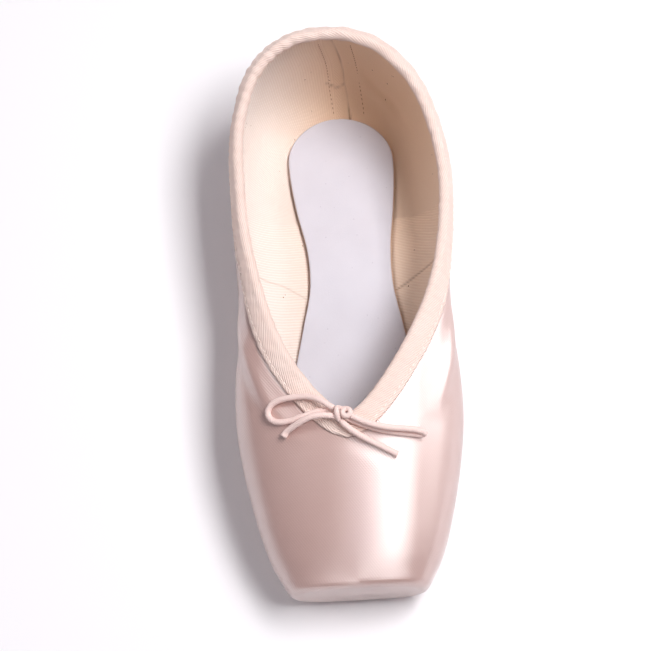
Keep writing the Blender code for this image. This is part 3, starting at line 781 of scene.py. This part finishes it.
# Line of painted shade under the crease at the back of the heel
HEEL_CREASE_SHADE = ((-3.6, 111.4, 14.6), (-1.2, 110.9, 12.9), (1.3, 110.5, 12.3), (3.9, 110.8, 13.2))
# The gap that shows along the cut edges of the insole at the waist, a shallow groove in the lining with painted shade
# in it
INSOLE_GAP_FROM, INSOLE_GAP_TO, INSOLE_GAP_OUT, INSOLE_GAP_WIDE = -24.0, 88.0, 0.55, 0.75
LINING_FOLDS = (
    Fold(0.5, 2.2, ((-2.5, 113.0, 20.0), (-2.0, 111.5, 14.4), (0.6, 110.9, 12.8), (3.6, 110.6, 12.6))),
    Fold(-0.6, 0.9, ((-4.0, 111.4, 14.6), (-1.6, 111.0, 13.4), (0.9, 110.6, 12.4), (4.2, 110.3, 12.4))),
    Fold(0.9, 2.6, ((9.0, 112.0, 24.0), (12.0, 110.6, 17.0), (15.2, 108.2, 12.4), (18.8, 105.4, 10.4),
                    (22.0, 101.6, 9.4), (24.4, 97.0, 8.2))),
    Fold(-0.7, 2.0, ((12.0, 112.4, 22.0), (15.6, 109.6, 16.0), (19.6, 106.6, 12.6), (24.0, 101.8, 11.2),
                     (27.0, 96.0, 10.0), (28.4, 90.0, 9.0))),
    Fold(0.5, 2.2, ((33.0, 88.0, 30.0), (30.6, 90.0, 20.0), (28.6, 88.0, 12.0), (27.4, 80.0, 8.0))),
    Fold(-0.35, 1.2, ((-37.0, 34.0, 16.0), (-33.8, 33.9, 11.5), (-29.0, 33.8, 8.6), (-22.7, 32.9, 7.5),
                      (-16.0, 32.0, 7.7))),
    Fold(-0.5, 1.8, ((-10.0, 112.4, 44.0), (-16.0, 110.0, 38.0), (-22.0, 106.4, 31.0))),
    Fold(-0.4, 2.0, ((-14.0, 111.8, 30.0), (-20.0, 108.0, 23.0), (-25.0, 102.0, 16.0))),
    Fold(0.4, 2.0, ((40.0, 36.0, 30.0), (37.0, 42.0, 18.0), (31.0, 50.0, 9.0))),
    Fold(-0.4, 1.6, ((41.0, 48.0, 34.0), (38.6, 56.0, 22.0), (33.0, 64.0, 11.0))),
)


def insole_gap(points):
    share = np.zeros(len(points))
    for i in np.flatnonzero((points[:, 2] < 12) & (points[:, 1] > INSOLE_GAP_FROM) & (points[:, 1] < INSOLE_GAP_TO)):
        x, y = points[i, 0], points[i, 1]
        edge = abs(x - read_rows(INSOLE_ROWS, "shift", y)) - outline_half(INSOLE_ROWS, 0.0, y)
        ends = smoothstep(INSOLE_GAP_FROM, 10.0, y) * (1 - smoothstep(60.0, INSOLE_GAP_TO, y))
        share[i] = np.exp(-((edge - INSOLE_GAP_OUT) / INSOLE_GAP_WIDE) ** 2) * ends
    return share


def lining_shape(points, normals, below):
    wall = np.array([wall_at(y) for y in points[:, 1]])
    inner = points - normals * wall[:, None]
    left, right = (seam_share(inner, [line], LINING_SEAM_WIDE) for line in LINING_SEAMS)
    heel = np.maximum(seam_share(inner, [HEEL_SEAM], LINING_SEAM_WIDE), 0.6 * seam_share(inner, [HEEL_CREASE_SHADE], 0.5))
    gap_groove_and_shade = insole_gap(inner)
    # The seam share darkens the lining's seams, and also carries painted shade under the heel crease and in the
    # insole's gap.
    seam = np.maximum.reduce([0.3 * left, 0.7 * right, heel, 0.6 * gap_groove_and_shade])
    # Out is outward, so a crease that stands up from the lining is taken away from it
    relief = fold_relief(inner, LINING_FOLDS) - SEAM_DEPTH * np.maximum(seam, 1.6 * gap_groove_and_shade)
    return -(wall + relief * np.clip((below - 2.0) / 4.0, 0, 1)), seam


# Cotton drill: matt cream with a few dark husks, and a warm tan painted over its right side and the back of the heel as
# painted shade.
# Each quarter is cut as a curved strip, so its ribs fan out towards the heel. They are drawn
# 1.2 mm apart, twice as coarse as real ones, so that they show at this size.
drill, tree, shader = start_finish("cream_cotton_drill", "#F2DCCB", Roughness=0.9, Sheen_Weight=0.25)
shader.inputs["Sheen Roughness"].default_value = 0.5
shader.inputs["Specular IOR Level"].default_value = 0.2
uv = add_node(tree, "UVMap", uv_map="cloth")
parts = add_node(tree, "SeparateXYZ", links={0: uv.outputs[0]})
fan = add_node(
    tree, "MapRange", {"From Min": 50.0, "From Max": 140.0, "To Min": -0.31, "To Max": 0.62}, {"Value": parts.outputs["Y"]}
)
down = add_node(tree, "Math", {1: 0.0}, {0: parts.outputs["X"]}, operation="MAXIMUM")
slant = add_node(tree, "Math", {}, {0: down.outputs[0], 1: fan.outputs[0]}, operation="MULTIPLY")
along = add_node(tree, "Math", {}, {0: parts.outputs["Y"], 1: slant.outputs[0]}, operation="ADD")
fanned = add_node(tree, "CombineXYZ", links={"X": along.outputs[0], "Y": parts.outputs["X"]})
ribs = add_node(
    tree, "TexWave", {"Scale": 0.31416 / 1.2, "Distortion": 0.5, "Detail": 1.0, "Detail Scale": 0.5},
    {"Vector": fanned.outputs[0]}, wave_type="BANDS", bands_direction="X",
)
threads = add_node(tree, "TexNoise", {"Scale": 1.4, "Detail": 2.0}, {"Vector": uv.outputs[0]})
height = add_node(tree, "Math", {}, {0: ribs.outputs["Fac"], 1: threads.outputs["Fac"]}, operation="ADD")
bump = add_node(tree, "Bump", {"Strength": 1.0, "Distance": 0.00012}, {"Height": height.outputs[0]})
stain = add_node(tree, "TexNoise", {"Scale": 0.05, "Detail": 3.0}, {"Vector": uv.outputs[0]})
cream = add_node(
    tree, "Mix", {"A": linear("#EFE2DA"), "B": linear("#F4EAE4")}, {"Factor": stain.outputs["Fac"]}, data_type="RGBA"
)
# Painted shade: the lining turns tan towards its right side and the back of the heel, where the light falls away.
at = add_node(tree, "SeparateXYZ", links={0: add_node(tree, "TexCoord").outputs["Object"]})
across = add_node(
    tree, "MapRange", {"From Min": -0.036, "From Max": 0.008}, {"Value": at.outputs["X"]}, interpolation_type="SMOOTHSTEP"
)
back = add_node(
    tree, "MapRange", {"From Min": -0.02, "From Max": 0.1, "To Min": 0.45}, {"Value": at.outputs["Y"]}
)
painted_shade_share = add_node(tree, "Math", {}, {0: across.outputs[0], 1: back.outputs[0]}, operation="MULTIPLY")
cream_with_painted_shade = add_node(
    tree, "Mix", {"B": linear("#F3D2B4")}, {"Factor": painted_shade_share.outputs[0], "A": cream.outputs["Result"]}, data_type="RGBA"
)
# Painted shade: the furrows between the ribs are darkened.
painted_furrow_shade = add_node(
    tree, "MapRange", {"From Min": 0.0, "From Max": 0.5, "To Min": 0.2, "To Max": 0.0}, {"Value": ribs.outputs["Fac"]}
)
shade = add_node(
    tree, "Mix", {"B": linear("#CFA283")}, {"Factor": painted_furrow_shade.outputs[0], "A": cream_with_painted_shade.outputs["Result"]}, data_type="RGBA"
)
husks = add_node(tree, "TexVoronoi", {"Scale": 0.16}, {"Vector": uv.outputs[0]})
is_husk = add_node(tree, "Math", {1: 0.045}, {0: husks.outputs["Distance"]}, operation="LESS_THAN")
# The seam share draws the dark seams, and painted shade under the heel crease and in the insole's gap.
seam_mark = add_node(tree, "Attribute", attribute_name="seam")
marks = add_node(tree, "Math", {}, {0: is_husk.outputs[0], 1: seam_mark.outputs["Fac"]}, operation="MAXIMUM")
marked = add_node(
    tree, "Mix", {"B": linear("#8E6243")}, {"Factor": marks.outputs[0], "A": shade.outputs["Result"]},
    data_type="RGBA",
)
tree.links.new(marked.outputs["Result"], shader.inputs["Base Color"])
tree.links.new(bump.outputs[0], shader.inputs["Normal"])

lining = add_piece("cotton_lining", shell_mesh("cotton_lining", lining_shape), drill)
cloth = lining.modifiers.new("thickness", "SOLIDIFY")
cloth.thickness = LINING_THICK * MM
cloth.offset = 1.0


# Binding tape
# Cotton twill tape is folded over the collar's raw edge and run round with lockstitch.
# The drawstring lies in its fold, so the edge is round, and it meets at the throat.

TAPE, TAPE_GAP, EDGE_GAP = 0.6, 0.45, 0.1
TANGENT_STEP = 0.4
OUT_REACHES = (0.7, 1.6, 2.5, 3.3, 4.0, 4.5, 4.9, 5.3, 5.8, 6.4, 7.0)
IN_REACHES = (0.8, 1.9, 3.0)
CASING_RISE, CASING_BULGE, CASING_STEPS = 2.1, 0.35, 11
STITCH_REACH, PUFF, HEEL_PUFF = 5.3, 0.45, 1.2
TAPE_EVERY, TAPE_SPLITS = 1.2, 3
TOOTH_EVERY, TOOTH_DEEP, TOOTH_SLANT = 1.6, 0.09, 1.1       # ribs standing up on the folded edge


def surface_steps(t, b, side):
    # The outer face's two directions and its outward normal at one place.
    h = 0.02
    here = upper_point(t, b, side)
    along = (upper_point(t + h, b, side) - here) / h
    up = (here - upper_point(t, b - h / 20, side)) / (h / 20)
    return here, along, up, along.cross(up).normalized() * side


def walk(t, b, side, heading, distance):
    # Follow the outer face from one place for a distance, as a strip of tape does.
    _, along, up, normal = surface_steps(t, b, side)
    heading = (heading - normal * heading.dot(normal)).normalized()
    step = heading * distance
    aa, ab, bb = along.dot(along), along.dot(up), up.dot(up)
    pa, pb = step.dot(along), step.dot(up)
    det = aa * bb - ab * ab
    return t + (pa * bb - pb * ab) / det, b + (pb * aa - pa * ab) / det


def rim_place(t):
    _, _, row, rim, _ = station(t)
    return min(rim_angle(row, rim), pi / 2 - 0.0004)


def puff(t, reach):
    # The tape swells between its fold and the line of stitches, and lies down at its edge.
    if reach > STITCH_REACH:
        share = (reach - STITCH_REACH) / (OUT_REACHES[-1] - STITCH_REACH)
        return 0.25 * sin(pi * share) - (TAPE_GAP - EDGE_GAP) * share
    high = PUFF + HEEL_PUFF * smoothstep(80.0, 130.0, t)
    return high * sin(pi * (reach / STITCH_REACH)) ** 0.6


def tape_profile(t, side):
    # The tape's mid-line across the collar, outer leg first, and its outward normals.
    b = rim_place(t)
    ahead, behind = max(t - TANGENT_STEP, THROAT_Y), min(t + TANGENT_STEP, HEEL_END)
    edge = upper_point(behind, rim_place(behind), side) - upper_point(ahead, rim_place(ahead), side)
    here, _, _, normal = surface_steps(t, b, side)
    on_middle = t in (THROAT_Y, HEEL_END)
    if on_middle:
        edge = Vector((side if t == THROAT_Y else -side, 0.0, 0.0))
        normal = Vector((0.0, normal.y, normal.z)).normalized()
    down = edge.cross(normal).normalized() * side
    out = TAPE_GAP + TAPE / 2
    inside = -(WALL + out)

    def leg(reaches, lift, swell):
        place_t, place_b, done = t, b, 0.0
        for reach in reaches:
            place_t, place_b = walk(place_t, place_b, side, down, reach - done)
            done = reach
            p, _, _, n = surface_steps(place_t, place_b, side)
            yield p + n * (lift + (puff(t, reach) if swell else 0.0))

    points = list(leg(OUT_REACHES, out, True))[::-1]
    middle, half = (out + inside) / 2, (out - inside) / 2 + CASING_BULGE
    for i in range(CASING_STEPS):
        turn = pi * i / (CASING_STEPS - 1)
        points.append(here + normal * (middle + half * cos(turn)) - down * (CASING_RISE * sin(turn) + 0.1))
    points += leg(IN_REACHES, inside, False)
    if on_middle:
        points = [Vector((sway(0.0, p.y, p.z), p.y, p.z)) for p in points]
    return points


def finer(rows):
    found = []
    for a, b in zip(rows, rows[1:]):
        for k in range(TAPE_SPLITS):
            s = k / TAPE_SPLITS
            found.append([(pa.lerp(pb, s), ua + (ub - ua) * s, va + (vb - va) * s, 0.0)
                          for (pa, ua, va, _), (pb, ub, vb, _) in zip(a, b)])
    return found + [rows[-1]]


tape_rows = {}
for side in (1, -1):
    rows, far, last_rim = [], 0.0, None
    for t in steps(THROAT_Y, PIVOT_Y, TAPE_EVERY) + steps(PIVOT_Y, HEEL_END, TAPE_EVERY)[1:]:
        points = tape_profile(t, side)
        rim = points[len(OUT_REACHES) + CASING_STEPS // 2]
        far += (rim - last_rim).length if last_rim else 0.0
        last_rim = rim
        across = [0.0]
        for a, b in zip(points, points[1:]):
            across.append(across[-1] + (b - a).length)
        rows.append([(p, u, far * side, 0.0) for p, u in zip(points, across)])
    tape_rows[side] = finer(rows)

bm = bmesh.new()
uv_layer = bm.loops.layers.uv.new("cloth")
place_layer = bm.verts.layers.float_vector.new("place")
for side, rows in tape_rows.items():
    add_sheet(bm, rows, -side, uv_layer)
for face in bm.faces:
    for loop in face.loops:
        u, v = loop[uv_layer].uv
        loop[uv_layer].uv = (abs(u), v)
        loop.vert[place_layer] = (abs(u), v, 0.0)
bmesh.ops.remove_doubles(bm, verts=bm.verts, dist=0.02)
bm.normal_update()
fold_at = sum(OUT_REACHES[i + 1] - OUT_REACHES[i] for i in range(len(OUT_REACHES) - 1)) + 3.0
for vert in bm.verts:
    p = vert.co
    u, v, _ = vert[place_layer]
    uneven = 0.10 + 0.16 * smoothstep(60.0, 110.0, p.y)
    wave = sin(p.y * 0.71 + 1.3) * sin(p.x * 0.37 + p.y * 0.23) + 0.6 * sin(p.y * 1.37 + p.x * 0.9)
    tooth = max(0.0, 1 - abs(u - fold_at) / 3.5) * sin(2 * pi * v / TOOTH_EVERY + u * TOOTH_SLANT)
    vert.co = (p + vert.normal * (uneven * wave + TOOTH_DEEP * tooth)) * MM
tape_mesh = bpy.data.meshes.new("binding_tape")
bm.to_mesh(tape_mesh)
bm.free()

# Cotton twill tape: matt, warm cream, steep ribs that run round the folded edge like a rope.
# Its ribs are drawn 0.8 mm apart, a little coarser than real ones, so that they show.
twill_tape, tree, shader = start_finish("cream_twill_tape", "#F3D6CA", Roughness=0.85, Sheen_Weight=0.2)
shader.inputs["Specular IOR Level"].default_value = 0.25
uv = add_node(tree, "UVMap", uv_map="cloth")
slanted = add_node(tree, "Mapping", {"Rotation": (0, 0, radians(-23))}, {"Vector": uv.outputs[0]})
ribs = add_node(
    tree, "TexWave", {"Scale": 0.31416 / 0.8, "Distortion": 0.4, "Detail": 1.0, "Detail Scale": 0.8},
    {"Vector": slanted.outputs[0]}, wave_type="BANDS", bands_direction="X",
)
bump = add_node(tree, "Bump", {"Strength": 1.0, "Distance": 0.00016}, {"Height": ribs.outputs["Fac"]})
cloud = add_node(tree, "TexNoise", {"Scale": 0.12, "Detail": 2.0}, {"Vector": uv.outputs[0]})
shade = add_node(
    tree, "Mix", {"A": linear("#F0D5CA"), "B": linear("#F6E3DA")}, {"Factor": cloud.outputs["Fac"]}, data_type="RGBA"
)
# Painted shade: the grooves between the ribs are darkened.
painted_groove_shade = add_node(
    tree, "MapRange", {"From Min": 0.0, "From Max": 0.45, "To Min": 0.45, "To Max": 0.0}, {"Value": ribs.outputs["Fac"]}
)
ribbed = add_node(
    tree, "Mix", {"B": linear("#DDB8A8")}, {"Factor": painted_groove_shade.outputs[0], "A": shade.outputs["Result"]},
    data_type="RGBA",
)
tree.links.new(ribbed.outputs["Result"], shader.inputs["Base Color"])
tree.links.new(bump.outputs[0], shader.inputs["Normal"])

tape = add_piece("binding_tape", tape_mesh, twill_tape, ["binding"])
cloth = tape.modifiers.new("thickness", "SOLIDIFY")
cloth.thickness = TAPE * MM
cloth.offset = 0.0


# Stitches
# Pale sewing thread: a lockstitch round the tape, and two rows beside the heel seam inside.

THREAD, HEEL_THREAD = 0.18, 0.15
STITCH_LONG, STITCH_PITCH = 1.9, 2.9
HEEL_LONG, HEEL_PITCH = 0.8, 2.0


def add_stitches(bm, line, normals, long, pitch, radius, rise):
    # Short bowed threads laid end to end along a line, each sunk at its ends.
    line, normals = evenly(line, pitch / 6, normals)
    for i in range(3, len(line) - 3, 6):
        p = Vector(line[i])
        ahead = (Vector(line[i + 1]) - Vector(line[i - 1])).normalized()
        up = Vector(normals[i]).normalized()
        bow = [p + ahead * (long * s) + up * (rise * (1 - 4.4 * s * s)) for s in (-0.5, -0.3, 0.0, 0.3, 0.5)]
        tube(bm, bow, radius, 6)


bm = bmesh.new()
at = OUT_REACHES[::-1].index(STITCH_REACH)
for side, rows in tape_rows.items():
    line = [row[at][0] for row in rows]
    normals = [(row[at][0] - row[at + 1][0]).cross(b[at][0] - a[at][0]).normalized() * -side
               for row, a, b in zip(rows, rows[:1] + rows, rows[1:] + rows[-1:])]
    outward = [n if n.dot(Vector((p.x, p.y - 30.0, p.z))) > 0 else -n for n, p in zip(normals, line)]
    add_stitches(
        bm, [p + n * (TAPE / 2 + 0.02) for p, n in zip(line, outward)], outward, STITCH_LONG, STITCH_PITCH, THREAD, 0.18
    )
thread_mesh = bpy.data.meshes.new("tape_stitches")
bm.to_mesh(thread_mesh)
bm.free()
# Spun polyester thread: thin, slightly shiny and paler than the tape
thread, tree, shader = start_finish("pale_sewing_thread", "#F8E6DC", Roughness=0.5, Sheen_Weight=0.2)
add_piece("tape_stitches", thread_mesh, thread)

bm = bmesh.new()
for row in HEEL_ROWS:
    line = [Vector(p) for p in row]
    line = [Vector(p) for p in evenly(smooth_line(line), 1.0)]
    inward = [(Vector((0.0, 60.0, 50.0)) - p).normalized() for p in line]
    add_stitches(bm, line, inward, HEEL_LONG, HEEL_PITCH, HEEL_THREAD, 0.16)
heel_mesh = bpy.data.meshes.new("heel_stitches")
bm.to_mesh(heel_mesh)
bm.free()
# Tan linen thread, darker than the lining that it holds
tan_thread, tree, shader = start_finish("tan_linen_thread", "#B98D6C", Roughness=0.8)
add_piece("heel_stitches", heel_mesh, tan_thread)


# Insole
# A soft board covered in pale lilac-grey paper cloth, glued down over the turned-in lining.
# It is narrower than the shoe at the waist and its cut edge shows.

INSOLE_THICK = 1.6
INSOLE_ACROSS = 22
INSOLE_ROUND = 0.35


def ring_mesh(name, rings):
    bm = bmesh.new()
    uv_layer = bm.loops.layers.uv.new("cloth")
    loops = [[bm.verts.new(Vector(p) * MM) for p in ring] for ring in rings]
    for a, b in zip(loops, loops[1:]):
        for j in range(len(a)):
            k = (j + 1) % len(a)
            face = bm.faces.new((a[j], b[j], b[k], a[k]))
            face.smooth = True
    bm.faces.new(loops[0])
    bm.faces.new(loops[-1][::-1])
    bmesh.ops.remove_doubles(bm, verts=bm.verts, dist=0.00002)
    bmesh.ops.recalc_face_normals(bm, faces=bm.faces)
    for face in bm.faces:
        for loop in face.loops:
            loop[uv_layer].uv = (loop.vert.co.x / MM, loop.vert.co.y / MM)
    mesh = bpy.data.meshes.new(name)
    bm.to_mesh(mesh)
    bm.free()
    return mesh


def end_steps(front, back, every):
    # Steps that close up at both ends, where the outline turns quickly.
    ends = [0.04, 0.2, 0.5, 0.9, 1.5, 2.3, 3.3, 4.5, 6.0, 7.6, 9.4, 11.4, 13.6]
    middle = steps(front + ends[-1], back - ends[-1], every)[1:-1]
    return [front + e for e in ends] + middle + [back - e for e in ends[::-1]]


rings = []
for y in end_steps(INSOLE_ROWS[0].y, INSOLE_ROWS[-1].y, 2.0):
    half = outline_half(INSOLE_ROWS, 0.0, y)
    shift = read_rows(INSOLE_ROWS, "shift", y)
    sheet = ground(y) + SOLE_THICK + GAP + wall_at(y) + GAP
    top = []
    for i in range(INSOLE_ACROSS + 1):
        share = -cos(pi * i / INSOLE_ACROSS)
        edge = max(0.0, 1 - (1 - abs(share)) * half / INSOLE_ROUND)
        lift = 0.3 * share * share - INSOLE_ROUND * edge ** 2
        top.append((shift + half * share, y, sheet + INSOLE_THICK + lift - 0.15))
    rings.append(top + [(shift + half, y, sheet + 0.5), (shift + half * 0.985, y, sheet),
                        (shift - half * 0.985, y, sheet), (shift - half, y, sheet + 0.5)])

# Coated paper board: smooth and pale lilac-grey, with a fine fibre grain and small specks
sock, tree, shader = start_finish("lilac_sock_board", "#DEDBE1", Roughness=0.62)
shader.inputs["Specular IOR Level"].default_value = 0.35
uv = add_node(tree, "UVMap", uv_map="cloth")
fibre = add_node(tree, "TexNoise", {"Scale": 1.3, "Detail": 4.0, "Roughness": 0.7}, {"Vector": uv.outputs[0]})
bump = add_node(tree, "Bump", {"Strength": 0.5, "Distance": 0.00012}, {"Height": fibre.outputs["Fac"]})
cloud = add_node(tree, "TexNoise", {"Scale": 0.05, "Detail": 3.0}, {"Vector": uv.outputs[0]})
shade = add_node(
    tree, "Mix", {"A": linear("#CBC8D0"), "B": linear("#D8D6DE")}, {"Factor": cloud.outputs["Fac"]}, data_type="RGBA"
)
specks = add_node(tree, "TexVoronoi", {"Scale": 0.22}, {"Vector": uv.outputs[0]})
is_speck = add_node(tree, "Math", {1: 0.06}, {0: specks.outputs["Distance"]}, operation="LESS_THAN")
faint = add_node(tree, "Math", {1: 0.35}, {0: is_speck.outputs[0]}, operation="MULTIPLY")
marked = add_node(
    tree, "Mix", {"B": linear("#9B95A4")}, {"Factor": faint.outputs[0], "A": shade.outputs["Result"]},
    data_type="RGBA",
)
tree.links.new(marked.outputs["Result"], shader.inputs["Base Color"])
tree.links.new(bump.outputs[0], shader.inputs["Normal"])
add_piece("insole_board", ring_mesh("insole_board", rings), sock, ["insole"])


# Outsole
# One spoon-shaped piece of split leather, skived thin at its edge and glued over the turned-in satin.

SOLE_CORNER = 0.7
SOLE_ACROSS = 14

rings = []
for y in end_steps(SOLE_ROWS[0].y, SOLE_ROWS[-1].y, 2.2):
    half, low = outline_half(SOLE_ROWS, 0.0, y), ground(y)
    corner = min(SOLE_CORNER, half * 0.6)
    right = [(half - corner, low), (half - corner * 0.45, low + corner * 0.12), (half - corner * 0.12, low + corner * 0.45),
             (half, low + corner), (half, low + SOLE_THICK - 0.5), (half - 0.15, low + SOLE_THICK - 0.15),
             (half - 0.5, low + SOLE_THICK)]
    under = [((half - corner) * (2 * i / SOLE_ACROSS - 1), low) for i in range(1, SOLE_ACROSS)]
    ring = under + right + [(-x, z) for x, z in right[::-1]]
    rings.append([(x, y, z) for x, z in ring])

# Split leather: buff and napped, mottled lighter and darker
leather, tree, shader = start_finish("buff_split_leather", "#C7A585", Roughness=0.85, Sheen_Weight=0.15)
uv = add_node(tree, "UVMap", uv_map="cloth")
nap = add_node(tree, "TexNoise", {"Scale": 1.1, "Detail": 5.0, "Roughness": 0.65}, {"Vector": uv.outputs[0]})
pores = add_node(tree, "TexVoronoi", {"Scale": 0.9}, {"Vector": uv.outputs[0]})
height = add_node(tree, "Math", {}, {0: nap.outputs["Fac"], 1: pores.outputs["Distance"]}, operation="ADD")
bump = add_node(tree, "Bump", {"Strength": 0.7, "Distance": 0.00018}, {"Height": height.outputs[0]})
cloud = add_node(tree, "TexNoise", {"Scale": 0.06, "Detail": 4.0}, {"Vector": uv.outputs[0]})
shade = add_node(
    tree, "Mix", {"A": linear("#B8926F"), "B": linear("#D6B898")}, {"Factor": cloud.outputs["Fac"]}, data_type="RGBA"
)
tree.links.new(shade.outputs["Result"], shader.inputs["Base Color"])
tree.links.new(bump.outputs[0], shader.inputs["Normal"])
add_piece("leather_outsole", ring_mesh("leather_outsole", rings), leather, ["outsole"])

knot_place = tuple(over_vamp(KNOT_AT) * MM)
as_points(left_path)
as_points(right_path)
